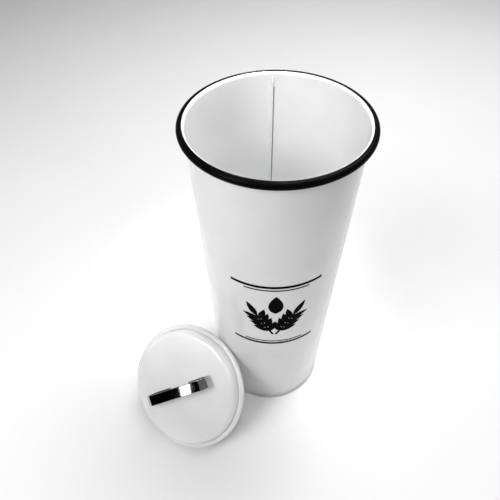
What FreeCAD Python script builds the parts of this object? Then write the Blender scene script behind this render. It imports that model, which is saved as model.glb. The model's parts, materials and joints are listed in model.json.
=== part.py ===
import FreeCAD, Part
import math
import os

# Food canister with a lift-off lid. Millimetres, +Z up, origin at the centre of the canister's base.

# Canister
HEIGHT = 290.0            # table to the crown of the rim
BASE_RADIUS = 51.6        # outside of the wall at the base
TOP_RADIUS = 54.5         # outside of the wall under the rim
SHEET = 0.8               # steel sheet with its enamel
RIM_TUBE = 2.5            # radius of the rolled rim's round section
RIM_JOIN_ANGLE = 115.0    # where the black hoop meets the wall's lip on the rim, up from level
RIM_TUCK = 0.6            # lap of the wall's edge inside the rim
RIM_EDGE_ANGLE = 20.0     # where the wall's edge ends inside the rim, up from level
SEAM_AZIMUTH = 88.0       # lock seam, at the back
SEAM_WIDTH = 4.6
SEAM_RISE = 0.9           # how far the folded seam stands in from the wall
SEAM_END_GAP = 7.0        # from the seam's ends to the base panel and the rim
HEM_HEIGHT = 3.2
BASE_RECESS = 4.0         # top of the bottom panel
HEM_ROUND = 0.5
FIT = 0.05                # clearance between pieces that are pressed together

# Lid, in its own frame: Z along its axis, zero at the bottom of its curled edge
LID_OVERHANG = 3.0        # from the outside of the wall's top to the outside of the curled edge
LID_CURL = 2.5            # radius of the curl's round section
CURL_GAP = 0.15           # groove between the curl's free edge and the lid's side
SHOULDER_START = 4.6      # where the side turns into the shoulder
SHOULDER_RADIUS = 6.4
DOME_RISE = 3.5           # from the crease inside the shoulder to the middle
COLLAR_CLEARANCE = 2.3    # from the collar to the inside of the mouth
COLLAR_DEPTH = 4.0        # below the curled edge
COLLAR_ROUND = 0.25
COLLAR_FLANGE = 4.2       # top of the flange that holds the collar to the lid's side
SEAL_WIDTH = 2.0
SEAL_DEPTH = 3.2
SEAL_TOP = 0.2
SEAL_ROUND = 0.6

# Handle: a strap bent into a flattened loop, with its feet on the dome
HANDLE_SPAN = 66.0
HANDLE_BEND = 6.8         # outer radius of the loop's ends
STRAP_WIDTH = 9.3
STRAP_THICKNESS = 1.4
STRAP_EDGE = 0.3
FOOT_END = 10.5           # from the lid's axis to the end of a foot
RIVET_OFFSET = 18.5
RIVET_SHANK = 1.6
RIVET_HEAD = 3.2
RIVET_HEAD_RISE = 1.3
RIVET_TAIL = 2.6
RIVET_TAIL_RISE = 0.9
WASHER_RADIUS = 4.6
WASHER_THICKNESS = 0.8

# How the lid leans: lower edge on the table, upper edge against the wall
LID_TILT = 45.0           # lid axis from the vertical
LID_FACING = 237.0        # direction that the lid axis leans to
LID_BEARING = 214.5       # direction of the lid's middle from the canister's axis
LEAN_GAP = 0.3
HANDLE_TURN = 45.5        # handle, turned about the lid axis from the level line across the lid
CONTACT_STEPS = 720

# Worked out from the sizes above
ORIGIN = FreeCAD.Vector(0, 0, 0)
UP = FreeCAD.Vector(0, 0, 1)
RIM_CENTRE = TOP_RADIUS - SHEET + RIM_TUBE
RIM_LEVEL = HEIGHT - RIM_TUBE
WALL_FOOT = SHEET + FIT
HEM_RADIUS = BASE_RADIUS + FIT + SHEET
LID_RADIUS = TOP_RADIUS + LID_OVERHANG
CURL_CENTRE = LID_RADIUS - LID_CURL
LID_SIDE = LID_RADIUS - 2 * LID_CURL + SHEET
CREASE_RADIUS = LID_SIDE - SHOULDER_RADIUS
CREASE_LEVEL = SHOULDER_START + SHOULDER_RADIUS
DOME_TOP = CREASE_LEVEL + DOME_RISE
DOME_RADIUS = (CREASE_RADIUS ** 2 + DOME_RISE ** 2) / (2 * DOME_RISE)
COLLAR_RADIUS = TOP_RADIUS - SHEET - COLLAR_CLEARANCE
SEAL_INSIDE = COLLAR_RADIUS + FIT
SEAL_RADIUS = SEAL_INSIDE + SEAL_WIDTH


def at(radius, level):
    """Point of a profile, in the plane that is turned about Z."""
    return FreeCAD.Vector(radius, 0, level)


def polar(centre, radius, angle):
    """Point at an angle, in degrees up from level, on a circle of a profile."""
    turn = math.radians(angle)
    return centre + at(radius * math.cos(turn), radius * math.sin(turn))


def arc(first, middle, last):
    """Edge through three points."""
    return Part.Arc(first, middle, last).toShape()


def bend(centre, radius, start, end):
    """Edge round a centre of a profile, from one angle to another."""
    middle = (start + end) / 2
    return arc(polar(centre, radius, start), polar(centre, radius, middle), polar(centre, radius, end))


def face(edges):
    """Flat face inside a closed run of edges."""
    return Part.Face(Part.Wire(edges))


def polygon(points):
    """Flat face inside straight edges."""
    return Part.Face(Part.makePolygon(points + points[:1]))


def turned(profile, angle=360.0):
    """Solid made by turning a profile about Z."""
    return profile.revolve(ORIGIN, UP, angle)


def rounded(solid, radius, wanted):
    """Solid with a fillet on the edges that a test picks."""
    return solid.makeFillet(radius, [edge for edge in solid.Edges if wanted(edge)])


def wall_radius(level):
    """Outside radius of the tapered wall at a height."""
    return BASE_RADIUS + (TOP_RADIUS - BASE_RADIUS) * level / RIM_LEVEL


def body_wall():
    """Tapered sheet with a folded seam inside and a lip that turns out into the rim."""
    rim = at(RIM_CENTRE, RIM_LEVEL)
    under = RIM_TUBE - SHEET
    core = under - SHEET
    tuck = RIM_JOIN_ANGLE + math.degrees(RIM_TUCK / under)
    foot = at(wall_radius(WALL_FOOT), WALL_FOOT)
    foot_inside = foot - at(SHEET, 0)
    wall = turned(face([
        Part.makeLine(foot_inside, foot),
        Part.makeLine(foot, polar(rim, under, 180)),
        bend(rim, under, 180, tuck),
        Part.makeLine(polar(rim, under, tuck), polar(rim, core, tuck)),
        bend(rim, core, tuck, RIM_EDGE_ANGLE),
        Part.makeLine(polar(rim, core, RIM_EDGE_ANGLE), polar(rim, under, RIM_EDGE_ANGLE)),
        bend(rim, under, RIM_EDGE_ANGLE, RIM_JOIN_ANGLE),
        Part.makeLine(polar(rim, under, RIM_JOIN_ANGLE), polar(rim, RIM_TUBE, RIM_JOIN_ANGLE)),
        bend(rim, RIM_TUBE, RIM_JOIN_ANGLE, 180),
        Part.makeLine(polar(rim, RIM_TUBE, 180), foot_inside),
    ]))
    return wall.fuse(lock_seam()).removeSplitter()


def lock_seam():
    """Folded strip down the inside of the wall, where the two edges of the sheet are locked together."""
    low = BASE_RECESS + SEAM_END_GAP
    high = RIM_LEVEL - SEAM_END_GAP
    back_low = wall_radius(low) - SHEET / 2
    back_high = wall_radius(high) - SHEET / 2
    front = SHEET / 2 + SEAM_RISE
    strip = polygon([
        at(back_low - front, low), at(back_low, low), at(back_high, high), at(back_high - front, high),
    ])
    width = math.degrees(SEAM_WIDTH / TOP_RADIUS)
    seam = turned(strip, width)
    seam.rotate(ORIGIN, UP, SEAM_AZIMUTH - width / 2)
    return seam


def rim_roll():
    """Black hoop from the lip over the crown of the rim, round and back towards the wall."""
    rim = at(RIM_CENTRE, RIM_LEVEL)
    inside = RIM_TUBE - SHEET + FIT
    start = RIM_JOIN_ANGLE - math.degrees(FIT / RIM_TUBE)
    end = -math.degrees(math.acos((SHEET + FIT - RIM_TUBE) / RIM_TUBE))
    return turned(face([
        bend(rim, RIM_TUBE, start, end),
        Part.makeLine(polar(rim, RIM_TUBE, end), polar(rim, inside, end)),
        bend(rim, inside, end, start),
        Part.makeLine(polar(rim, inside, start), polar(rim, RIM_TUBE, start)),
    ]))


def base_disc():
    """Bottom panel with a turned-down edge that closes round the wall's foot as a hem."""
    chuck = BASE_RADIUS - SHEET - FIT
    panel = BASE_RECESS - SHEET
    hem_inside = HEM_RADIUS - SHEET
    disc = turned(polygon([
        at(0, panel), at(chuck - SHEET, panel), at(chuck - SHEET, 0), at(HEM_RADIUS, 0),
        at(HEM_RADIUS, HEM_HEIGHT), at(hem_inside, HEM_HEIGHT), at(hem_inside, SHEET),
        at(chuck, SHEET), at(chuck, BASE_RECESS), at(0, BASE_RECESS),
    ]))
    return rounded(disc, HEM_ROUND, lambda edge: edge.BoundBox.XMax > HEM_RADIUS - FIT
                   and edge.BoundBox.ZLength < FIT)


def dome_level(offset):
    """Height of the dome's outside above the curled edge, at a distance from the lid's axis."""
    return DOME_TOP - DOME_RADIUS + math.sqrt(DOME_RADIUS ** 2 - offset ** 2)


def lid_shell():
    """Domed sheet lid: crease, shoulder, side and an edge that curls out and round."""
    curl = at(CURL_CENTRE, LID_CURL)
    inner_curl = LID_CURL - SHEET
    free = 360.0 + math.degrees(math.acos((CURL_GAP - inner_curl) / LID_CURL))
    shoulder = at(CREASE_RADIUS, SHOULDER_START)
    inner_shoulder = SHOULDER_RADIUS - SHEET
    half = CREASE_RADIUS / 2
    under = at(0, -SHEET)
    shell = turned(face([
        arc(at(0, DOME_TOP), at(half, dome_level(half)), at(CREASE_RADIUS, CREASE_LEVEL)),
        bend(shoulder, SHOULDER_RADIUS, 90, 0),
        Part.makeLine(polar(shoulder, SHOULDER_RADIUS, 0), polar(curl, inner_curl, 180)),
        bend(curl, inner_curl, 180, free),
        Part.makeLine(polar(curl, inner_curl, free), polar(curl, LID_CURL, free)),
        bend(curl, LID_CURL, free, 180),
        Part.makeLine(polar(curl, LID_CURL, 180), polar(shoulder, inner_shoulder, 0)),
        bend(shoulder, inner_shoulder, 0, 90),
        arc(at(CREASE_RADIUS, CREASE_LEVEL) + under, at(half, dome_level(half)) + under,
            at(0, DOME_TOP) + under),
        Part.makeLine(at(0, DOME_TOP) + under, at(0, DOME_TOP)),
    ]))
    return shell.cut(on_feet(rivet_hole()))


def lid_collar():
    """Ring inside the lid's side that enters the mouth, with a flange that holds it to the lid."""
    inside = COLLAR_RADIUS - SHEET
    flange = LID_SIDE - SHEET - FIT
    collar = turned(polygon([
        at(inside, -COLLAR_DEPTH), at(COLLAR_RADIUS, -COLLAR_DEPTH),
        at(COLLAR_RADIUS, COLLAR_FLANGE - SHEET), at(flange, COLLAR_FLANGE - SHEET),
        at(flange, COLLAR_FLANGE), at(inside, COLLAR_FLANGE),
    ]))
    return rounded(collar, COLLAR_ROUND, lambda edge: edge.BoundBox.ZMax < FIT - COLLAR_DEPTH)


def lid_seal():
    """Soft ring round the collar, just under the curled edge."""
    seal = turned(polygon([
        at(SEAL_INSIDE, -SEAL_DEPTH), at(SEAL_RADIUS, -SEAL_DEPTH),
        at(SEAL_RADIUS, SEAL_TOP), at(SEAL_INSIDE, SEAL_TOP),
    ]))
    return rounded(seal, SEAL_ROUND, lambda edge: edge.BoundBox.XMax > SEAL_RADIUS - FIT
                   and edge.BoundBox.ZLength < FIT)


def on_feet(piece):
    """Copies of a piece made on the lid's axis, moved round the dome to the two feet of the handle."""
    turn = math.degrees(math.asin(RIVET_OFFSET / DOME_RADIUS))
    copies = []
    for side in (-1, 1):
        copy = piece.copy()
        copy.rotate(at(0, DOME_TOP - DOME_RADIUS), FreeCAD.Vector(0, 1, 0), side * turn)
        copy.rotate(ORIGIN, UP, HANDLE_TURN)
        copies.append(copy)
    return Part.makeCompound(copies)


def rivet_hole():
    """Hole for a rivet, through the lid and a foot of the strap."""
    depth = SHEET + STRAP_THICKNESS + 2 * WASHER_THICKNESS
    low = at(0, DOME_TOP - SHEET - WASHER_THICKNESS)
    return Part.makeCylinder(RIVET_SHANK + FIT, depth, low, UP)


def handle_strap():
    """Flat strap: level top run, round ends and two feet that turn in and follow the dome."""
    centre = at(0, DOME_TOP - DOME_RADIUS)
    slope = math.degrees(math.asin((HANDLE_SPAN / 2 - HANDLE_BEND) / (DOME_RADIUS + HANDLE_BEND)))
    foot_slope = math.degrees(math.asin(FOOT_END / DOME_RADIUS))
    outer_foot = DOME_RADIUS + STRAP_THICKNESS
    inner_bend = HANDLE_BEND - STRAP_THICKNESS

    def end_outline(side):
        """Edges of one end of the strap, from the top run's outside round to its inside."""
        def up_from_level(angle):
            return angle if side > 0 else 180.0 - angle
        loop = polar(centre, DOME_RADIUS + HANDLE_BEND, up_from_level(90.0 - slope))
        top, bottom = up_from_level(90.0), up_from_level(-90.0 - slope)
        toe, heel = up_from_level(90.0 - foot_slope), up_from_level(90.0 - slope)
        return [
            bend(loop, HANDLE_BEND, top, bottom),
            bend(centre, DOME_RADIUS, heel, toe),
            Part.makeLine(polar(centre, DOME_RADIUS, toe), polar(centre, outer_foot, toe)),
            bend(centre, outer_foot, toe, heel),
            bend(loop, inner_bend, bottom, top),
        ]

    right, left = end_outline(1), end_outline(-1)
    turn_in = HANDLE_SPAN / 2 - HANDLE_BEND
    top = centre.z + (DOME_RADIUS + HANDLE_BEND) * math.cos(math.radians(slope)) + HANDLE_BEND
    under = top - STRAP_THICKNESS
    outline = right + left + [
        Part.makeLine(at(-turn_in, top), at(turn_in, top)),
        Part.makeLine(at(-turn_in, under), at(turn_in, under)),
    ]
    profile = Part.Face(Part.Wire(Part.__sortEdges__(outline)))
    profile.translate(FreeCAD.Vector(0, -STRAP_WIDTH / 2, 0))
    strap = profile.extrude(FreeCAD.Vector(0, STRAP_WIDTH, 0))
    strap = rounded(strap, STRAP_EDGE, lambda edge: edge.BoundBox.YLength < FIT
                    and edge.BoundBox.ZMax > under - HANDLE_BEND)
    strap.rotate(ORIGIN, UP, HANDLE_TURN)
    return strap.cut(on_feet(rivet_hole()))


def handle_rivets():
    """Two rivets with low round heads on the feet and closed tails under the washers."""
    head = DOME_TOP + STRAP_THICKNESS + FIT
    tail = DOME_TOP - SHEET - WASHER_THICKNESS - 2 * FIT
    ball = (RIVET_HEAD ** 2 + RIVET_HEAD_RISE ** 2) / (2 * RIVET_HEAD_RISE)
    half = RIVET_HEAD / 2
    crown = at(half, head + RIVET_HEAD_RISE - ball + math.sqrt(ball ** 2 - half ** 2))
    rivet = turned(face([
        Part.makeLine(at(0, tail - RIVET_TAIL_RISE), at(RIVET_TAIL, tail - RIVET_TAIL_RISE)),
        Part.makeLine(at(RIVET_TAIL, tail - RIVET_TAIL_RISE), at(RIVET_TAIL, tail)),
        Part.makeLine(at(RIVET_TAIL, tail), at(RIVET_SHANK, tail)),
        Part.makeLine(at(RIVET_SHANK, tail), at(RIVET_SHANK, head)),
        Part.makeLine(at(RIVET_SHANK, head), at(RIVET_HEAD, head)),
        arc(at(RIVET_HEAD, head), crown, at(0, head + RIVET_HEAD_RISE)),
        Part.makeLine(at(0, head + RIVET_HEAD_RISE), at(0, tail - RIVET_TAIL_RISE)),
    ]))
    return on_feet(rivet)


def handle_washers():
    """Two flat washers under the lid, between it and the rivets' tails."""
    low = at(0, DOME_TOP - SHEET - WASHER_THICKNESS - FIT)
    washer = Part.makeCylinder(WASHER_RADIUS, WASHER_THICKNESS, low, UP)
    hole = Part.makeCylinder(RIVET_SHANK + FIT, WASHER_THICKNESS, low, UP)
    return on_feet(washer.cut(hole))


def contact_rings():
    """Rings on which the lid can rest: radius, height in the lid's frame and radius of the edge."""
    return [
        (CURL_CENTRE, LID_CURL, LID_CURL),
        (SEAL_RADIUS - SEAL_ROUND, SEAL_ROUND - SEAL_DEPTH, SEAL_ROUND),
        (COLLAR_RADIUS - COLLAR_ROUND, COLLAR_ROUND - COLLAR_DEPTH, COLLAR_ROUND),
    ]


def clear_radius(level, edge):
    """How far from the canister's axis a round edge at a height has to stay."""
    in_front_of = HEM_RADIUS if level - edge < HEM_HEIGHT else wall_radius(level)
    return in_front_of + LEAN_GAP + edge


def lid_rotation():
    """Turn of the leaning lid: tilted about X, then swung to the direction it faces."""
    tilt = FreeCAD.Rotation(FreeCAD.Vector(1, 0, 0), LID_TILT)
    return FreeCAD.Rotation(UP, LID_FACING + 90).multiply(tilt)


def lid_place():
    """Place of the leaning lid, with its lowest ring on the table and a small gap to the wall."""
    turn = lid_rotation()
    tilt = math.radians(LID_TILT)
    level = max(radius * math.sin(tilt) + edge - height * math.cos(tilt)
                for radius, height, edge in contact_rings())
    bearing = math.radians(LID_BEARING)
    away = FreeCAD.Vector(math.cos(bearing), math.sin(bearing), 0)
    distance = 0.0
    for radius, height, edge in contact_rings():
        for step in range(CONTACT_STEPS):
            angle = 2 * math.pi * step / CONTACT_STEPS
            ring = FreeCAD.Vector(radius * math.cos(angle), radius * math.sin(angle), height)
            point = turn.multVec(ring)
            clear = clear_radius(level + point.z, edge)
            along = away.x * point.x + away.y * point.y
            reach = clear ** 2 - point.x ** 2 - point.y ** 2 + along ** 2
            if reach > 0:
                distance = max(distance, math.sqrt(reach) - along)
    return FreeCAD.Placement(away * distance + UP * level, turn)


CANISTER = [body_wall, rim_roll, base_disc]
LID = [lid_shell, lid_collar, lid_seal, handle_strap, handle_rivets, handle_washers]


def export(shape, name):
    """Write one piece."""
    shape.exportStep(f"parts/{name}.step")


def main():
    """Make every piece and put the lid where it leans."""
    os.makedirs("parts", exist_ok=True)
    for piece in CANISTER:
        export(piece(), piece.__name__)
    place = lid_place()
    print("lid middle", [round(value, 3) for value in place.Base])
    for piece in LID:
        shape = piece()
        shape.Placement = place.multiply(shape.Placement)
        export(shape, piece.__name__)


main()
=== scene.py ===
"""Looks of a white enamel food canister with a black rim and a lid that leans against it."""

import json
import logging
import math
from collections.abc import Callable, Sequence
from dataclasses import dataclass
from enum import Enum
from functools import cache

import bpy
from mathutils import Matrix, Vector


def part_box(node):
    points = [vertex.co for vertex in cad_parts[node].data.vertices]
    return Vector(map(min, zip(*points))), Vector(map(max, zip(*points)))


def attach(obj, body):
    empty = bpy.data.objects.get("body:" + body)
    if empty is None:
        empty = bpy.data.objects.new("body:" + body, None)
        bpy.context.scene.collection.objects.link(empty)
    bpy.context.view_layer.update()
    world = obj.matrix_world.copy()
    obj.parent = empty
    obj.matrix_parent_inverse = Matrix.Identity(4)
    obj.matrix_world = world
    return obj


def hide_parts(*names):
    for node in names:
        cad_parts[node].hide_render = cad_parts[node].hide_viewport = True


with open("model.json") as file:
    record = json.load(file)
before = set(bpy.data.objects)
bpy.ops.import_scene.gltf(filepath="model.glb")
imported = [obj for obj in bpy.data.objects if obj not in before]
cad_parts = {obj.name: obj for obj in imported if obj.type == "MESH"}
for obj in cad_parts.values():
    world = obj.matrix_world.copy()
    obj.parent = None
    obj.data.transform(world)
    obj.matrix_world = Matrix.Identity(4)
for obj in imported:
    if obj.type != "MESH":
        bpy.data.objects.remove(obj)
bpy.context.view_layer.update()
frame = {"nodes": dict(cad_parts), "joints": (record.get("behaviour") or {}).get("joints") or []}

MM = 0.001
IMAGE_PIXELS = 500
LATHE_STEPS = 192
ARC_STEP_DEGREES = 9.0
SMOOTH_DEGREES = 40.0
BEVEL_SEGMENTS = 3
WELD = 1e-6
CLOUD_SPAN = (0.3, 0.7)

log = logging.getLogger("canister")

Profile = list[Vector]
Socket = bpy.types.NodeSocket
Greys = Sequence[tuple[float, float]]


class Body(Enum):
    """Bodies of the frame that a piece can ride on."""

    CANISTER = "canister"
    LID = "lid"


class Slot(Enum):
    """Material slots of the record."""

    WHITE_ENAMEL = "white_enamel"
    BLACK_ENAMEL = "black_enamel"
    BRIGHT_STRAP = "bright_strap"


def at(radius: float, level: float) -> Vector:
    """Point of a profile, in metres from millimetres."""
    return Vector((radius * MM, 0.0, level * MM))


def bend(centre: Vector, radius: float, start: float, end: float) -> Profile:
    """Points round a centre of a profile.

    Args:
        centre: Centre of the bend, in metres.
        radius: Radius of the bend, in millimetres.
        start: First angle, in degrees up from level.
        end: Last angle, in degrees.

    Returns:
        Evenly spaced points from the first angle to the last.
    """
    count = max(2, math.ceil(abs(end - start) / ARC_STEP_DEGREES))
    angles = (math.radians(start + (end - start) * step / count) for step in range(count + 1))
    return [centre + at(radius * math.cos(angle), radius * math.sin(angle)) for angle in angles]


def run(first: Vector, last: Vector, pieces: int) -> Profile:
    """Points evenly along a straight run of a profile."""
    return [first.lerp(last, step / pieces) for step in range(pieces + 1)]


def edit(obj: bpy.types.Object, mode: str) -> None:
    """Deselect everything, make one object active and change the mode."""
    if bpy.context.object and bpy.context.object.mode != "OBJECT":
        bpy.ops.object.mode_set(mode="OBJECT")
    bpy.ops.object.select_all(action="DESELECT")
    bpy.context.view_layer.objects.active = obj
    obj.select_set(True)
    bpy.ops.object.mode_set(mode=mode)


def drawn_path(name: str, points: Profile, closed: bool) -> bpy.types.Object:
    """Draw a path of edges by pulling one vertex along it.

    Args:
        name: Name of the new object.
        points: Points of the path.
        closed: Whether the last point is joined to the first.

    Returns:
        The object, in edit mode with all of it selected.
    """
    bpy.ops.object.select_all(action="DESELECT")
    bpy.ops.mesh.primitive_plane_add(size=MM, location=(0, 0, 0))
    obj = bpy.context.object
    obj.name = name
    edit(obj, "EDIT")
    bpy.ops.mesh.select_all(action="SELECT")
    bpy.ops.mesh.merge(type="CENTER")
    bpy.ops.transform.translate(value=points[0])
    for before, after in zip(points, points[1:]):
        bpy.ops.mesh.extrude_region_move(TRANSFORM_OT_translate={"value": after - before})
    if closed:
        # With only the two ends selected an edge is added, and no face.
        bpy.ops.mesh.select_all(action="DESELECT")
        bpy.ops.object.mode_set(mode="OBJECT")
        for end in (0, -1):
            obj.data.vertices[end].select = True
        bpy.ops.object.mode_set(mode="EDIT")
        bpy.ops.mesh.edge_face_add()
    bpy.ops.mesh.select_all(action="SELECT")
    return obj


def lathe(name: str, points: Profile, closed: bool, degrees: float = 360.0,
          steps: int = LATHE_STEPS) -> bpy.types.Object:
    """Turn a profile about the Z axis.

    Args:
        name: Name of the new object.
        points: Points of the profile.
        closed: Whether the profile is a closed loop.
        degrees: How far it is turned.
        steps: Faces round the turn.

    Returns:
        The turned object, smooth, with its faces outwards.
    """
    obj = drawn_path(name, points, closed)
    # Blender's spin turns clockwise when its angle is positive.
    bpy.ops.mesh.spin(steps=steps, angle=-math.radians(degrees), center=(0, 0, 0), axis=(0, 0, 1))
    bpy.ops.mesh.select_all(action="SELECT")
    bpy.ops.mesh.remove_doubles(threshold=WELD)
    bpy.ops.mesh.normals_make_consistent(inside=False)
    bpy.ops.object.mode_set(mode="OBJECT")
    smooth(obj)
    return obj


def smooth(obj: bpy.types.Object) -> None:
    """Shade smooth, with creases where faces meet at a steep angle."""
    edit(obj, "OBJECT")
    bpy.ops.object.shade_smooth_by_angle(angle=math.radians(SMOOTH_DEGREES))


def modify(obj: bpy.types.Object, kind: str, **settings: object) -> None:
    """Add a modifier with its settings and apply it."""
    edit(obj, "OBJECT")
    modifier = obj.modifiers.new(kind.lower(), kind)
    for key, value in settings.items():
        setattr(modifier, key, value)
    bpy.ops.object.modifier_apply(modifier=modifier.name)


def bevel(obj: bpy.types.Object, width: float, degrees: float) -> None:
    """Round the edges that are steeper than an angle, to a width in millimetres."""
    modify(obj, "BEVEL", width=width * MM, segments=BEVEL_SEGMENTS, limit_method="ANGLE",
           angle_limit=math.radians(degrees))


def set_greys(node: bpy.types.Node, stops: Greys) -> None:
    """Set the place and grey of a colour ramp's two stops."""
    for element, (place, grey) in zip(node.color_ramp.elements, stops):
        element.position = place
        element.color = (grey, grey, grey, 1.0)


class Nodes:
    """A material's node tree, with short ways to add and join nodes."""

    def __init__(self, name: str) -> None:
        """Start a material with a plain shader and Object coordinates."""
        self.material = bpy.data.materials.new(name)
        self.material.use_nodes = True
        self.tree = self.material.node_tree
        self.shader = self.tree.nodes["Principled BSDF"]
        self.place = self.tree.nodes.new("ShaderNodeTexCoord").outputs["Object"]

    def add(self, kind: str, **inputs: object) -> bpy.types.Node:
        """Add a node and set or join its inputs by name."""
        node = self.tree.nodes.new(kind)
        self.fill(node, inputs)
        return node

    def fill(self, node: bpy.types.Node, inputs: dict[str, object]) -> None:
        """Set a node's inputs to values, or join them to other nodes' outputs."""
        for key, value in inputs.items():
            socket = node.inputs[key.replace("_", " ")]
            if isinstance(value, Socket):
                self.tree.links.new(value, socket)
            else:
                socket.default_value = value

    def noise(self, scale: float, detail: float = 3.0, stretch: Vector | None = None) -> Socket:
        """Noise over the surface.

        Args:
            scale: Size of the noise, in features a metre.
            detail: Octaves of detail.
            stretch: Scale of each axis, for noise that is drawn out along one.

        Returns:
            The noise's value.
        """
        place = self.place
        if stretch is not None:
            mapping = self.add("ShaderNodeMapping", Vector=place, Scale=stretch)
            place = mapping.outputs["Vector"]
        node = self.add("ShaderNodeTexNoise", Vector=place, Scale=scale, Detail=detail)
        return node.outputs["Fac"]

    def ramp(self, value: Socket, stops: Greys) -> Socket:
        """Grey ramp over a value, from the place and grey of its two stops."""
        node = self.add("ShaderNodeValToRGB", Fac=value)
        set_greys(node, stops)
        return node.outputs["Color"]

    def clouds(self, scale: float, detail: float, greys: tuple[float, float],
               span: tuple[float, float] = CLOUD_SPAN) -> Socket:
        """Soft clouds between two greys.

        Args:
            scale: Size of the clouds, in features a metre.
            detail: Octaves of detail.
            greys: Darkest and lightest grey.
            span: Noise values at which they are reached.

        Returns:
            The clouds' colour.
        """
        return self.ramp(self.noise(scale, detail), list(zip(span, greys)))

    def blend(self, kind: str, first: Socket, second: Socket) -> Socket:
        """Blend two colours in full."""
        node = self.tree.nodes.new("ShaderNodeMix")
        node.data_type = "RGBA"
        node.blend_type = kind
        node.inputs["Factor"].default_value = 1.0
        inputs = [socket for socket in node.inputs if socket.type == "RGBA"]
        self.tree.links.new(first, inputs[0])
        self.tree.links.new(second, inputs[1])
        return next(socket for socket in node.outputs if socket.type == "RGBA")

    def between(self, value: Socket, low: float, high: float) -> Socket:
        """Map a value from 0..1 to a range."""
        node = self.add("ShaderNodeMapRange", Value=value, To_Min=low, To_Max=high)
        return node.outputs["Result"]

    def bump(self, height: Socket, strength: float, distance: float,
             under: Socket | None = None) -> Socket:
        """Bump from a height, as a normal, on top of another bump if one is given."""
        node = self.add("ShaderNodeBump", Height=height, Strength=strength, Distance=distance)
        if under is not None:
            self.tree.links.new(under, node.inputs["Normal"])
        return node.outputs["Normal"]

    def set(self, **inputs: object) -> bpy.types.Material:
        """Set or join the shader's inputs, and give the finished material."""
        self.fill(self.shader, inputs)
        return self.material


@dataclass(frozen=True)
class Enamel:
    """Fired enamel on sheet steel: glassy, a little uneven, with a few specks."""

    name: str
    greys: tuple[float, float]
    rough_low: float
    rough_high: float
    ripple_strength: float
    ripple_scale: float = 130.0
    ripple_detail: float = 1.0
    ripple_depth: float = 0.001
    cloud_scale: float = 28.0
    cloud_detail: float = 4.0
    grain_strength: float = 0.05
    grain_scale: float = 1400.0
    grain_detail: float = 2.0
    grain_depth: float = 0.0001
    speck_scale: float = 520.0
    speck_grey: float = 0.45
    speck_size: float = 0.035
    speck_share: float = 0.012
    speck_edge: float = 0.002
    glass: float = 1.52
    coat: float = 0.35
    coat_rough: float = 0.04

    def specks(self, nodes: Nodes) -> Socket:
        """Small dark specks in a few cells of a pattern, white elsewhere."""
        cells = nodes.add("ShaderNodeTexVoronoi", Vector=nodes.place, Scale=self.speck_scale)
        speck = nodes.ramp(cells.outputs["Distance"], [(0.0, self.speck_grey), (self.speck_size, 1.0)])
        rare_end = self.speck_share + self.speck_edge
        rare = nodes.ramp(cells.outputs["Color"], [(self.speck_share, 0.0), (rare_end, 1.0)])
        return nodes.blend("LIGHTEN", speck, rare)

    @cache
    def material(self) -> bpy.types.Material:
        """Make the node material, once for all the pieces that share it."""
        nodes = Nodes(self.name)
        ground = nodes.clouds(self.cloud_scale, self.cloud_detail, self.greys)
        colour = nodes.blend("MULTIPLY", ground, self.specks(nodes))
        grain = nodes.noise(self.grain_scale, self.grain_detail)
        rough = nodes.between(grain, self.rough_low, self.rough_high)
        fine = nodes.bump(grain, self.grain_strength, self.grain_depth)
        wave = nodes.noise(self.ripple_scale, self.ripple_detail)
        ripple = nodes.bump(wave, self.ripple_strength, self.ripple_depth, fine)
        return nodes.set(Base_Color=colour, Roughness=rough, Normal=ripple, IOR=self.glass,
                         Coat_Weight=self.coat, Coat_Roughness=self.coat_rough)


@dataclass(frozen=True)
class BrightStrap:
    """Plated strip, polished along its length, with faint draw lines."""

    name: str = "bright_strip"
    greys: tuple[float, float] = (0.44, 0.54)
    cloud_scale: float = 60.0
    cloud_detail: float = 3.0
    rough_low: float = 0.015
    rough_high: float = 0.05
    line_strength: float = 0.01
    line_scale: float = 900.0
    line_detail: float = 2.0
    line_stretch: tuple[float, float, float] = (0.06, 1.0, 0.4)
    line_depth: float = 0.00005
    wave_strength: float = 0.02
    wave_scale: float = 45.0
    wave_detail: float = 1.0
    wave_depth: float = 0.001

    def material(self) -> bpy.types.Material:
        """Make the node material."""
        nodes = Nodes(self.name)
        colour = nodes.clouds(self.cloud_scale, self.cloud_detail, self.greys)
        lines = nodes.noise(self.line_scale, self.line_detail, Vector(self.line_stretch))
        rough = nodes.between(lines, self.rough_low, self.rough_high)
        fine = nodes.bump(lines, self.line_strength, self.line_depth)
        wave = nodes.noise(self.wave_scale, self.wave_detail)
        soft = nodes.bump(wave, self.wave_strength, self.wave_depth, fine)
        return nodes.set(Base_Color=colour, Roughness=rough, Normal=soft, Metallic=1.0)


@dataclass(frozen=True)
class Finish:
    """Clouded grey with uneven roughness and a fine bump. Scales in features a metre."""

    name: str
    greys: tuple[float, float]
    cloud_scale: float
    cloud_detail: float
    rough_low: float
    rough_high: float
    rough_scale: float
    bump_strength: float
    bump_scale: float
    bump_depth: float = 0.0001
    cloud_span: tuple[float, float] = CLOUD_SPAN

    def nodes(self) -> Nodes:
        """Make the nodes for colour, roughness and bump."""
        nodes = Nodes(self.name)
        colour = nodes.clouds(self.cloud_scale, self.cloud_detail, self.greys, self.cloud_span)
        rough = nodes.between(nodes.noise(self.rough_scale), self.rough_low, self.rough_high)
        normal = nodes.bump(nodes.noise(self.bump_scale), self.bump_strength, self.bump_depth)
        nodes.set(Base_Color=colour, Roughness=rough, Normal=normal)
        return nodes


@dataclass(frozen=True)
class Steel(Finish):
    """Dull turned steel of rivets and washers."""

    def material(self) -> bpy.types.Material:
        """Make the node material."""
        return self.nodes().set(Metallic=1.0)


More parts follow.
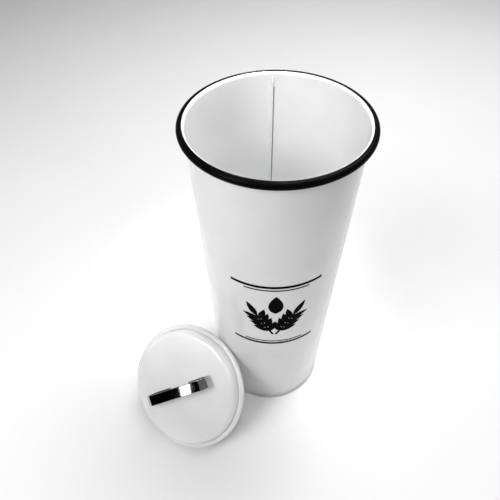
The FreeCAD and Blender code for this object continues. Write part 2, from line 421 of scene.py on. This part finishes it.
@dataclass(frozen=True)
class Silicone(Finish):
    """Milky soft seal."""

    glow: float = 0.1
    glow_depth: float = 0.002

    def material(self) -> bpy.types.Material:
        """Make the node material."""
        return self.nodes().set(Subsurface_Weight=self.glow, Subsurface_Radius=(self.glow_depth,) * 3)


@dataclass(frozen=True)
class PrintInk(Finish):
    """Black ink fired on the enamel, slightly worn."""

    glass: float = 1.04

    def material(self) -> bpy.types.Material:
        """Make the node material."""
        return self.nodes().set(IOR=self.glass)


@dataclass(frozen=True)
class FloorPaint:
    """Matt pale paint of the floor."""

    name: str = "floor_paint"
    greys: tuple[float, float] = (0.86, 0.88)
    cloud_scale: float = 6.0
    cloud_detail: float = 3.0
    rough: float = 0.7

    def material(self) -> bpy.types.Material:
        """Make the node material."""
        nodes = Nodes(self.name)
        colour = nodes.clouds(self.cloud_scale, self.cloud_detail, self.greys)
        return nodes.set(Base_Color=colour, Roughness=self.rough)


WHITE = Enamel("white_enamel_coat", greys=(0.80, 0.86), rough_low=0.10, rough_high=0.17,
               ripple_strength=0.03)
# Dark grey of the thin strip beside the seam: painted shade standing in for the shadow line of the raised
# edge, not a colour of the enamel.
SEAM_SHADE = Enamel("seam_shadow_paint", greys=(0.2, 0.28), rough_low=0.2, rough_high=0.35,
              ripple_strength=0.03)
BLACK = Enamel("black_enamel_coat", greys=(0.001, 0.003), rough_low=0.22, rough_high=0.34,
               ripple_strength=0.05, speck_grey=0.6, glass=1.1, coat=0.0)
STEEL = Steel("rivet_steel", greys=(0.42, 0.6), cloud_scale=300.0, cloud_detail=4.0,
              rough_low=0.22, rough_high=0.42, rough_scale=1500.0, bump_strength=0.1,
              bump_scale=900.0)
SILICONE = Silicone("seal_silicone", greys=(0.60, 0.72), cloud_scale=120.0, cloud_detail=3.0,
                    rough_low=0.45, rough_high=0.62, rough_scale=700.0, bump_strength=0.15,
                    bump_scale=2200.0)
INK = PrintInk("print_ink", greys=(0.001, 0.004), cloud_scale=260.0, cloud_detail=5.0,
               cloud_span=(0.25, 0.75), rough_low=0.18, rough_high=0.34, rough_scale=900.0,
               bump_strength=0.06, bump_scale=1600.0)


def dress(obj: bpy.types.Object, material: bpy.types.Material) -> None:
    """Give an object one material."""
    obj.data.materials.clear()
    obj.data.materials.append(material)


def seat(obj: bpy.types.Object, body: Body, slot: Slot, *nodes: str) -> None:
    """Let a piece ride a body and stand for its solids."""
    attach(obj, body.value)
    if nodes:
        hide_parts(*nodes)
    log.info("%s rides on %s, %d faces", obj.name, body.value, len(obj.data.polygons))


@dataclass
class Canister:
    """Tapered wall with a rolled rim, lock seam and base hem. Sizes in millimetres, angles in degrees."""

    height: float = 290.0
    base_radius: float = 51.6
    top_radius: float = 54.5
    sheet: float = 0.8
    rim_tube: float = 2.5
    rim_join: float = 115.0
    rim_edge: float = 20.0
    seam_azimuth: float = 88.9
    seam_width: float = 2.2
    seam_rise: float = 0.9
    seam_bevel_share: float = 0.45
    seam_bevel_angle: float = 50.0
    seam_end_gap: float = 7.0
    seam_top_gap: float = 2.0
    seam_fade: float = 9.0
    # Width and rise of the thin dark strip of painted shade along the seam's edge.
    seam_shadow_width: float = 0.75
    seam_shadow_rise: float = 0.25
    feather_start: float = 0.2
    feather_least: float = 0.06
    fade_least: float = 0.15
    pucker_length: float = 8.0
    pucker_width: float = 1.9
    pucker_rise: float = 2.0
    pucker_peak: float = 0.72
    pucker_lean: float = 0.6
    hem_height: float = 3.2
    hem_round: float = 0.5
    hem_lip: float = 0.3
    base_recess: float = 4.0
    panel_bend: float = 1.0
    panel_drop: float = 0.6
    fit: float = 0.05
    wall_rows: int = 24
    seam_steps: int = 10

    @property
    def rim_level(self) -> float:
        """Height of the middle of the rim's section."""
        return self.height - self.rim_tube

    @property
    def rim_centre(self) -> Vector:
        """Middle of the rim's section."""
        return at(self.top_radius - self.sheet + self.rim_tube, self.rim_level)

    def wall_radius(self, level: float) -> float:
        """Outside radius of the wall at a height."""
        return self.base_radius + (self.top_radius - self.base_radius) * level / self.rim_level

    def inside_radius(self, level: float) -> float:
        """Radius of what lies against the inside of the wall at a height."""
        return self.wall_radius(level) - self.sheet - self.fit

    def wall(self) -> bpy.types.Object:
        """Sheet wall with the white lip that turns out to the crown of the rim."""
        low = self.sheet + self.fit
        foot = self.wall_radius(low)
        under = self.rim_tube - self.sheet
        points = run(at(foot, low), at(self.top_radius, self.rim_level), self.wall_rows)
        points += bend(self.rim_centre, under - self.sheet, 180 - self.rim_edge, self.rim_edge)
        points += bend(self.rim_centre, under, self.rim_edge, self.rim_join)
        points += bend(self.rim_centre, self.rim_tube, self.rim_join, 180)
        points += run(at(self.top_radius - self.sheet, self.rim_level), at(foot - self.sheet, low),
                      self.wall_rows)[1:]
        return lathe("wall_sheet", points, True)

    def lock_seam(self, name: str, width: float, rise: float, azimuth: float,
                  top_gap: float) -> bpy.types.Object:
        """Folded strip down the inside, rounded along its edges.

        Args:
            name: Name of the strip.
            width: Width of the strip.
            rise: How far it stands in from the wall.
            azimuth: Direction of its first edge from the axis.
            top_gap: How far below the middle of the rim it ends.

        Returns:
            The strip.
        """
        low = self.base_recess + self.seam_end_gap
        high = self.rim_level - top_gap
        back_low, back_high = self.inside_radius(low), self.inside_radius(high)
        points = run(at(back_low, low), at(back_high, high), self.wall_rows)
        points += run(at(back_high - rise, high), at(back_low - rise, low), self.wall_rows)
        turn = math.degrees(width / self.top_radius)
        seam = lathe(name, points, True, turn, self.seam_steps)
        self.feather(seam, math.radians(turn))
        edit(seam, "EDIT")
        bpy.ops.mesh.select_all(action="DESELECT")
        bpy.ops.mesh.select_non_manifold()
        bpy.ops.mesh.fill()
        bpy.ops.mesh.select_all(action="SELECT")
        bpy.ops.mesh.normals_make_consistent(inside=False)
        bpy.ops.object.mode_set(mode="OBJECT")
        seam.data.transform(Matrix.Rotation(math.radians(azimuth), 4, "Z"))
        bevel(seam, rise * self.seam_bevel_share, self.seam_bevel_angle)
        smooth(seam)
        return seam

    def feather(self, seam: bpy.types.Object, width: float) -> None:
        """Press the strip flat towards one edge and the top, so that only the other edge stands up.

        Args:
            seam: The strip, as turned from its profile.
            width: Angle that the strip covers, in radians.
        """
        top = (self.rim_level - self.seam_top_gap) * MM
        for vertex in seam.data.vertices:
            wall = self.inside_radius(vertex.co.z / MM) * MM
            flat = Vector((vertex.co.x, vertex.co.y))
            share = math.atan2(flat.y, flat.x) / width
            past = max(0.0, share - self.feather_start) / (1 - self.feather_start)
            ease = (1 + math.cos(math.pi * min(1.0, past))) / 2
            fade = min(1.0, (top - vertex.co.z) / (self.seam_fade * MM))
            rise = (wall - flat.length) * max(self.feather_least, ease * max(self.fade_least, fade))
            vertex.co.x, vertex.co.y = flat.normalized() * (wall - rise)

    def pucker(self) -> bpy.types.Object:
        """Small fold at the top of the seam, thickest low down, where the dark strip of painted shade
        along the seam starts.
        """
        high = self.rim_level
        low = high - self.pucker_length
        points = run(at(self.inside_radius(high), high), at(self.inside_radius(low), low), self.wall_rows)
        turn = self.pucker_width / self.top_radius
        fold = lathe("seam_pucker", points, False, math.degrees(turn), self.seam_steps)
        for vertex in fold.data.vertices:
            flat = Vector((vertex.co.x, vertex.co.y))
            across = math.sin(math.pi * math.atan2(flat.y, flat.x) / turn)
            along = (high - vertex.co.z / MM) / self.pucker_length
            swell = min(along / self.pucker_peak, (1 - along) / (1 - self.pucker_peak))
            flat *= 1 - self.pucker_rise * across * swell * MM / flat.length
            vertex.co.x, vertex.co.y = flat
        azimuth = self.seam_azimuth - self.pucker_lean
        fold.data.transform(Matrix.Rotation(math.radians(azimuth), 4, "Z"))
        modify(fold, "SOLIDIFY", thickness=self.fit * MM, offset=0.0)
        smooth(fold)
        return fold

    def rim(self) -> bpy.types.Object:
        """Black roll from the crown outwards and back under to the wall."""
        end = -math.degrees(math.acos((self.sheet + self.fit - self.rim_tube) / self.rim_tube))
        inside = self.rim_tube - self.sheet + self.fit
        start = self.rim_join - math.degrees(self.fit / self.rim_tube)
        points = bend(self.rim_centre, self.rim_tube, start, end)
        points += bend(self.rim_centre, inside, end, start)
        return lathe("rolled_rim", points, True)

    def base(self) -> bpy.types.Object:
        """Bottom panel and the hem that closes round the wall's foot."""
        chuck = self.base_radius - self.sheet - self.fit
        inside = chuck - self.sheet
        panel = self.base_recess - self.sheet
        hem = self.base_radius + self.fit + self.sheet
        curl = self.hem_round
        lip = self.hem_lip / 2
        points = [at(0, panel), at(inside - self.panel_bend, panel), at(inside, panel - self.panel_drop)]
        points += [at(inside, 0)]
        points += bend(at(hem - curl, curl), curl, -90, 0)
        points += bend(at(hem - lip, self.hem_height - lip), lip, 0, 90)
        points += [at(hem - self.hem_lip, self.hem_height), at(hem - self.hem_lip, self.sheet)]
        points += [at(chuck, self.sheet), at(chuck, self.base_recess), at(0, self.base_recess)]
        return lathe("base_panel", points, False)

    def build(self) -> None:
        """Model and dress the canister's pieces."""
        white = WHITE.material()
        wall = self.wall()
        # The dark grey strip beside the seam is painted shade: a shadow line along the raised edge, drawn
        # as a thin strip.
        shadow_azimuth = self.seam_azimuth - math.degrees(self.seam_shadow_width / self.top_radius)
        seam = self.lock_seam("lock_seam", self.seam_width, self.seam_rise, self.seam_azimuth,
                              self.seam_top_gap)
        line = self.lock_seam("seam_shadow_line", self.seam_shadow_width, self.seam_shadow_rise, shadow_azimuth,
                              self.pucker_length)
        pucker = self.pucker()
        rim = self.rim()
        base = self.base()
        for piece in (wall, seam, pucker, base):
            dress(piece, white)
        dress(rim, BLACK.material())
        dress(line, SEAM_SHADE.material())
        seat(wall, Body.CANISTER, Slot.WHITE_ENAMEL, "body_wall")
        seat(seam, Body.CANISTER, Slot.WHITE_ENAMEL)
        seat(pucker, Body.CANISTER, Slot.WHITE_ENAMEL)
        seat(line, Body.CANISTER, Slot.WHITE_ENAMEL)
        seat(base, Body.CANISTER, Slot.WHITE_ENAMEL, "base_disc")
        seat(rim, Body.CANISTER, Slot.BLACK_ENAMEL, "rim_roll")


@dataclass
class Ornament:
    """Generic black ornament on the front: two ears of wheat between rules. Sizes in millimetres."""

    canister: Canister
    low: float = 118.0
    high: float = 196.0
    width: float = 66.0
    rule: float = 2.6
    rule_step: float = 3.6
    rules_clear: int = 3
    thin_rule_length: float = 0.7
    thin_rule_weight: float = 0.5
    grain_length: float = 14.0
    grain_width: float = 5.2
    grain_turn: float = 40.0
    grain_thinnest: float = 0.02
    grain_power: float = 0.8
    grains: int = 4
    ear_lean: float = 26.0
    ear_foot: float = 1.0
    ear_gap: float = 4.0
    ear_space: float = 12.0
    stalk: float = 1.8
    stalk_share: float = 0.86
    tip_stretch: float = 1.25
    tip_place: float = 0.8
    seed_length: float = 22.0
    seed_width: float = 11.0
    lift: float = 0.03
    thickness: float = 0.06
    rows: int = 8
    columns: int = 40

    def leaf(self, length: float, width: float) -> bpy.types.Object:
        """One pointed grain as a shaped grid, flat in XZ with its foot at the origin."""
        bpy.ops.object.select_all(action="DESELECT")
        bpy.ops.mesh.primitive_grid_add(x_subdivisions=2, y_subdivisions=self.rows, size=1.0)
        obj = bpy.context.object
        for vertex in obj.data.vertices:
            along = vertex.co.y + 0.5
            side = math.sin(math.pi * along ** self.grain_power)
            swell = max(self.grain_thinnest, side) ** self.grain_power
            vertex.co = Vector((vertex.co.x * width * swell, 0.0, along * length))
        return obj

    def bar(self, width: float, height: float) -> bpy.types.Object:
        """A straight rule as a fine grid, flat in XZ and centred."""
        bpy.ops.object.select_all(action="DESELECT")
        bpy.ops.mesh.primitive_grid_add(x_subdivisions=self.columns, y_subdivisions=1, size=1.0)
        obj = bpy.context.object
        obj.data.transform(Matrix.Diagonal((width, height, 1.0, 1.0)))
        obj.data.transform(Matrix.Rotation(math.radians(90), 4, "X"))
        return obj

    def twin(self, pattern: bpy.types.Object) -> bpy.types.Object:
        """Copy of a piece, with a mesh of its own."""
        obj = pattern.copy()
        obj.data = pattern.data.copy()
        bpy.context.collection.objects.link(obj)
        return obj

    def place(self, obj: bpy.types.Object, across: float, level: float,
              degrees: float = 0.0) -> bpy.types.Object:
        """Turn a flat piece about its foot and move it on the flat artwork."""
        obj.data.transform(Matrix.Rotation(math.radians(degrees), 4, "Y"))
        obj.data.transform(Matrix.Translation((across, 0.0, level)))
        return obj

    def ear(self, side: int, grain: bpy.types.Object) -> list[bpy.types.Object]:
        """One ear: grains in pairs up a leaning stalk, and a longer one at the tip.

        Args:
            side: -1 for the ear that leans left, 1 for the one that leans right.
            grain: Pattern that the pairs are copied from.

        Returns:
            The ear's flat pieces.
        """
        lean = math.radians(self.ear_lean)
        tilt = side * self.ear_lean
        foot = self.low + self.rules_clear * self.rule_step + self.ear_gap
        length = self.high - self.low - 2 * self.rules_clear * self.rule_step - self.ear_space
        step = (length - self.grain_length) / (self.grains + 1)

        def up(reach: float) -> tuple[float, float]:
            """Place on the flat artwork at a distance up the stalk."""
            return side * (self.ear_foot + reach * math.sin(lean)), foot + reach * math.cos(lean)

        stalk = self.bar(length * self.stalk_share, self.stalk)
        pieces = [self.place(stalk, *up(length * (self.stalk_share / 2)), 90 + tilt)]
        for row in range(1, self.grains + 1):
            for turn in (-self.grain_turn, self.grain_turn):
                pieces.append(self.place(self.twin(grain), *up(step * row), tilt + turn))
        tip = self.leaf(self.grain_length * self.tip_stretch, self.grain_width)
        pieces.append(self.place(tip, *up(step * (self.grains + self.tip_place)), tilt))
        return pieces

    def rules(self) -> list[bpy.types.Object]:
        """Double rules above and below, and a seed under the upper ones."""
        pieces = []
        for edge, inward in ((self.low, 1), (self.high, -1)):
            pieces.append(self.place(self.bar(self.width, self.rule), 0.0, edge))
            thin = self.bar(self.width * self.thin_rule_length, self.rule * self.thin_rule_weight)
            pieces.append(self.place(thin, 0.0, edge + inward * self.rule_step))
        seed = self.leaf(self.seed_length, self.seed_width)
        level = self.high - self.rules_clear * self.rule_step - self.seed_length
        pieces.append(self.place(seed, 0.0, level))
        return pieces

    def wrapped(self, point: Vector) -> Vector:
        """Put a point of the flat artwork on the wall."""
        radius = self.canister.wall_radius(point.z) + self.lift
        angle = -math.pi / 2 + point.x / radius
        return Vector((radius * math.cos(angle), radius * math.sin(angle), point.z)) * MM

    def face_out(self, art: bpy.types.Object) -> None:
        """Turn the faces that look towards the canister's axis."""
        for polygon in art.data.polygons:
            outward = Vector((polygon.center.x, polygon.center.y, 0.0))
            if polygon.normal.dot(outward) < 0:
                polygon.flip()
        art.data.update()

    def build(self) -> None:
        """Model, wrap and dress the ornament."""
        grain = self.leaf(self.grain_length, self.grain_width)
        pieces = self.rules() + self.ear(-1, grain) + self.ear(1, grain)
        bpy.data.objects.remove(grain)
        edit(pieces[0], "OBJECT")
        for piece in pieces[1:]:
            piece.select_set(True)
        bpy.ops.object.join()
        art = bpy.context.object
        art.name = "front_ornament"
        for vertex in art.data.vertices:
            vertex.co = self.wrapped(vertex.co)
        edit(art, "EDIT")
        bpy.ops.mesh.select_all(action="SELECT")
        bpy.ops.mesh.normals_make_consistent(inside=False)
        bpy.ops.object.mode_set(mode="OBJECT")
        self.face_out(art)
        modify(art, "SOLIDIFY", thickness=self.thickness * MM, offset=1.0)
        dress(art, INK.material())
        seat(art, Body.CANISTER, Slot.BLACK_ENAMEL)


@dataclass
class Lid:
    """Domed lid with curled edge and strap handle, in its own frame. Sizes in millimetres."""

    radius: float = 57.5
    curl: float = 2.5
    curl_gap: float = 0.15
    sheet: float = 0.8
    shoulder_start: float = 4.6
    shoulder_radius: float = 6.4
    dome_rise: float = 3.5
    seal_middle: float = -1.5
    span: float = 66.0
    bend_radius: float = 6.8
    strap_width: float = 9.3
    strap_thickness: float = 1.4
    strap_edge: float = 0.3
    strap_edge_angle: float = 60.0
    strap_normal_weight: int = 100
    foot_end: float = 10.5
    handle_turn: float = 45.5
    dome_rows: int = 20
    foot_steps: int = 6

    @property
    def side(self) -> float:
        """Outside radius of the lid's upright side."""
        return self.radius - 2 * self.curl + self.sheet

    @property
    def crease(self) -> float:
        """Radius of the crease between the shoulder and the dome."""
        return self.side - self.shoulder_radius

    @property
    def dome_top(self) -> float:
        """Height of the middle of the dome."""
        return self.shoulder_start + self.shoulder_radius + self.dome_rise

    @property
    def ball(self) -> float:
        """Radius of the dome's curve."""
        return (self.crease ** 2 + self.dome_rise ** 2) / (2 * self.dome_rise)

    def dome_level(self, offset: float) -> float:
        """Height of the dome at a distance from the axis."""
        return self.dome_top - self.ball + math.sqrt(self.ball ** 2 - offset ** 2)

    def round_ball(self, radius: float, angle: float) -> Vector:
        """Point round the centre of the dome's curve, at an angle in radians from the axis."""
        return at(radius * math.sin(angle), self.dome_top - self.ball + radius * math.cos(angle))

    def matrix(self) -> Matrix:
        """Place of the lid, from the axis of its joint and the middle of its seal."""
        lift = next(joint for joint in frame["joints"] if joint["name"] == "lid_lift")
        axis = Vector(lift["axis"]).normalized()
        level = Vector((0, 0, 1)).cross(axis).normalized()
        slope = axis.cross(level)
        low, high = (Vector(corner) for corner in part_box("lid_seal"))
        middle = (low + high) / 2 - axis * self.seal_middle * MM
        turn = Matrix((level, slope, axis)).transposed().to_4x4()
        return Matrix.Translation(middle) @ turn

    def shell(self) -> bpy.types.Object:
        """Dome, crease, shoulder, side and the curled edge."""
        inner = self.curl - self.sheet
        centre = at(self.radius - self.curl, self.curl)
        free = 360 + math.degrees(math.acos((self.curl_gap - inner) / self.curl))
        shoulder = at(self.crease, self.shoulder_start)
        offsets = [self.crease * row / self.dome_rows for row in range(self.dome_rows)]
        outside = [at(offset, self.dome_level(offset)) for offset in offsets]
        points = outside + bend(shoulder, self.shoulder_radius, 90, 0)
        points += bend(centre, inner, 180, free)
        points += bend(centre, self.curl, free, 180)
        points += bend(shoulder, self.shoulder_radius - self.sheet, 0, 90)
        points += [point - at(0, self.sheet) for point in reversed(outside)]
        return lathe("domed_lid", points, False)

    def strap_line(self) -> Profile:
        """Middle line of the strap, from the toe of one foot over the top to the other."""
        half = self.strap_thickness / 2
        loop = self.ball + self.bend_radius
        slope = math.asin((self.span / 2 - self.bend_radius) / loop)
        toe = math.asin(self.foot_end / self.ball)
        centre = self.round_ball(loop, slope)
        right = bend(centre, self.bend_radius - half, 90, -90 - math.degrees(slope))
        for step in range(1, self.foot_steps + 1):
            angle = slope + (toe - slope) * step / self.foot_steps
            right.append(self.round_ball(self.ball + half, angle))
        left = [Vector((-point.x, 0.0, point.z)) for point in right]
        return list(reversed(left)) + right

    def strap(self) -> bpy.types.Object:
        """Flat strip bent into a flattened loop, with its feet turned in on the dome."""
        strap = drawn_path("handle_strip", self.strap_line(), False)
        bpy.ops.transform.translate(value=(0, -self.strap_width / 2 * MM, 0))
        bpy.ops.mesh.extrude_region_move(TRANSFORM_OT_translate={"value": (0, self.strap_width * MM, 0)})
        bpy.ops.mesh.select_all(action="SELECT")
        bpy.ops.mesh.normals_make_consistent(inside=False)
        bpy.ops.object.mode_set(mode="OBJECT")
        modify(strap, "SOLIDIFY", thickness=self.strap_thickness * MM, offset=0.0, use_even_offset=True)
        bevel(strap, self.strap_edge, self.strap_edge_angle)
        smooth(strap)
        modify(strap, "WEIGHTED_NORMAL", keep_sharp=True, weight=self.strap_normal_weight)
        strap.data.transform(Matrix.Rotation(math.radians(self.handle_turn), 4, "Z"))
        return strap

    def build(self) -> None:
        """Model and dress the lid's pieces, and dress the solids that stay."""
        place = self.matrix()
        white = WHITE.material()
        shell = self.shell()
        strap = self.strap()
        for piece in (shell, strap):
            piece.data.transform(place)
        dress(shell, white)
        dress(strap, BrightStrap().material())
        seat(shell, Body.LID, Slot.WHITE_ENAMEL, "lid_shell")
        seat(strap, Body.LID, Slot.BRIGHT_STRAP, "handle_strap")
        dress(frame["nodes"]["lid_collar"], white)
        dress(frame["nodes"]["lid_seal"], SILICONE.material())
        steel = STEEL.material()
        for node in ("handle_rivets", "handle_washers"):
            dress(frame["nodes"][node], steel)


@dataclass(frozen=True)
class Lamp:
    """Flat lamp at a place, turned to a point. Metres, watts and degrees."""

    name: str
    place: tuple[float, float, float]
    aim: tuple[float, float, float]
    size: tuple[float, float]
    power: float
    roll: float = 0.0
    spread: float = 180.0

    def hang(self) -> None:
        """Add the lamp to the scene."""
        light = bpy.data.lights.new(self.name, "AREA")
        light.shape = "RECTANGLE"
        light.size, light.size_y = self.size
        light.energy = self.power
        light.spread = math.radians(self.spread)
        lamp = bpy.data.objects.new(self.name, light)
        lamp.location = self.place
        look = Vector(self.aim) - Vector(self.place)
        turn = look.to_track_quat("-Z", "Y").to_matrix()
        turn = turn @ Matrix.Rotation(math.radians(self.roll), 3, "Z")
        lamp.rotation_euler = turn.to_euler()
        bpy.context.scene.collection.objects.link(lamp)


LAMPS = (
    Lamp("key", place=(0.35, 0.45, 1.2), aim=(-0.05, 0.0, 0.0), size=(0.8, 0.8), power=14.0),
    Lamp("window", place=(-0.994, -0.77, 0.335), aim=(-0.083, -0.069, 0.062), size=(0.036, 0.05),
         power=0.03, roll=52.0),
    Lamp("fill", place=(-0.5, -0.4, 0.72), aim=(0.0, 0.0, 0.2), size=(0.4, 0.4), power=4.0),
    Lamp("mouth", place=(0.05, -0.1, 0.9), aim=(0.0, 0.02, 0.29), size=(0.06, 0.06), power=0.085,
         spread=24.0),
)


@dataclass
class Studio:
    """Pale floor, soft light and the camera. Eye and sensor in millimetres, the rest in metres."""

    focal_pixels: float = 420.0
    pitch: float = 49.81
    roll: float = -1.326
    eye: tuple[float, float, float] = (-17.39, -214.02, 425.82)
    sensor: float = 36.0
    nearest: float = 0.01
    floor_size: float = 8.0
    dim_side: tuple[float, float, float] = (-0.79, -0.59, 0.18)
    room_greys: Greys = ((0.80, 1.0), (0.93, 0.004))
    room_light: float = 0.22

    def floor(self) -> None:
        """Pale floor under the object."""
        bpy.ops.object.select_all(action="DESELECT")
        bpy.ops.mesh.primitive_plane_add(size=self.floor_size, location=(0, 0, 0))
        floor = bpy.context.object
        floor.name = "pale_floor"
        dress(floor, FloorPaint().material())

    def sky(self) -> None:
        """Even room light with one dim side, which the bright strip mirrors."""
        world = bpy.data.worlds.new("room")
        world.use_nodes = True
        bpy.context.scene.world = world
        tree = world.node_tree
        place = tree.nodes.new("ShaderNodeTexCoord")
        facing = tree.nodes.new("ShaderNodeVectorMath")
        facing.operation = "DOT_PRODUCT"
        facing.inputs[1].default_value = Vector(self.dim_side).normalized()
        ramp = tree.nodes.new("ShaderNodeValToRGB")
        set_greys(ramp, self.room_greys)
        background = tree.nodes["Background"]
        background.inputs["Strength"].default_value = self.room_light
        tree.links.new(place.outputs["Generated"], facing.inputs[0])
        tree.links.new(facing.outputs["Value"], ramp.inputs["Fac"])
        tree.links.new(ramp.outputs["Color"], background.inputs["Color"])

    def camera(self) -> None:
        """Camera at the photograph's place, height and lens."""
        data = bpy.data.cameras.new("photo_camera")
        data.sensor_fit = "HORIZONTAL"
        data.sensor_width = self.sensor
        data.lens = self.sensor * self.focal_pixels / IMAGE_PIXELS
        data.clip_start = self.nearest
        camera = bpy.data.objects.new("photo_camera", data)
        pitch, roll = math.radians(self.pitch), math.radians(self.roll)
        look = Vector((0.0, math.cos(pitch), -math.sin(pitch)))
        right = Vector((1.0, 0.0, 0.0))
        up = right.cross(look)
        rolled = right * math.cos(roll) + up * math.sin(roll)
        raised = up * math.cos(roll) - right * math.sin(roll)
        turn = Matrix((rolled, raised, -look)).transposed().to_4x4()
        camera.matrix_world = Matrix.Translation(Vector(self.eye) * MM) @ turn
        bpy.context.scene.collection.objects.link(camera)
        bpy.context.scene.camera = camera

    def build(self) -> None:
        """Set the stage."""
        bpy.context.scene.view_settings.view_transform = "Standard"
        self.floor()
        self.sky()
        for lamp in LAMPS:
            lamp.hang()
        self.camera()


def main() -> None:
    """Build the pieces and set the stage."""
    logging.basicConfig(level=logging.INFO, format="%(name)s: %(message)s")
    canister = Canister()
    steps: list[Callable[[], None]] = [
        canister.build, Ornament(canister).build, Lid().build, Studio().build,
    ]
    for step in steps:
        step()


if __name__ == "__main__":
    main()
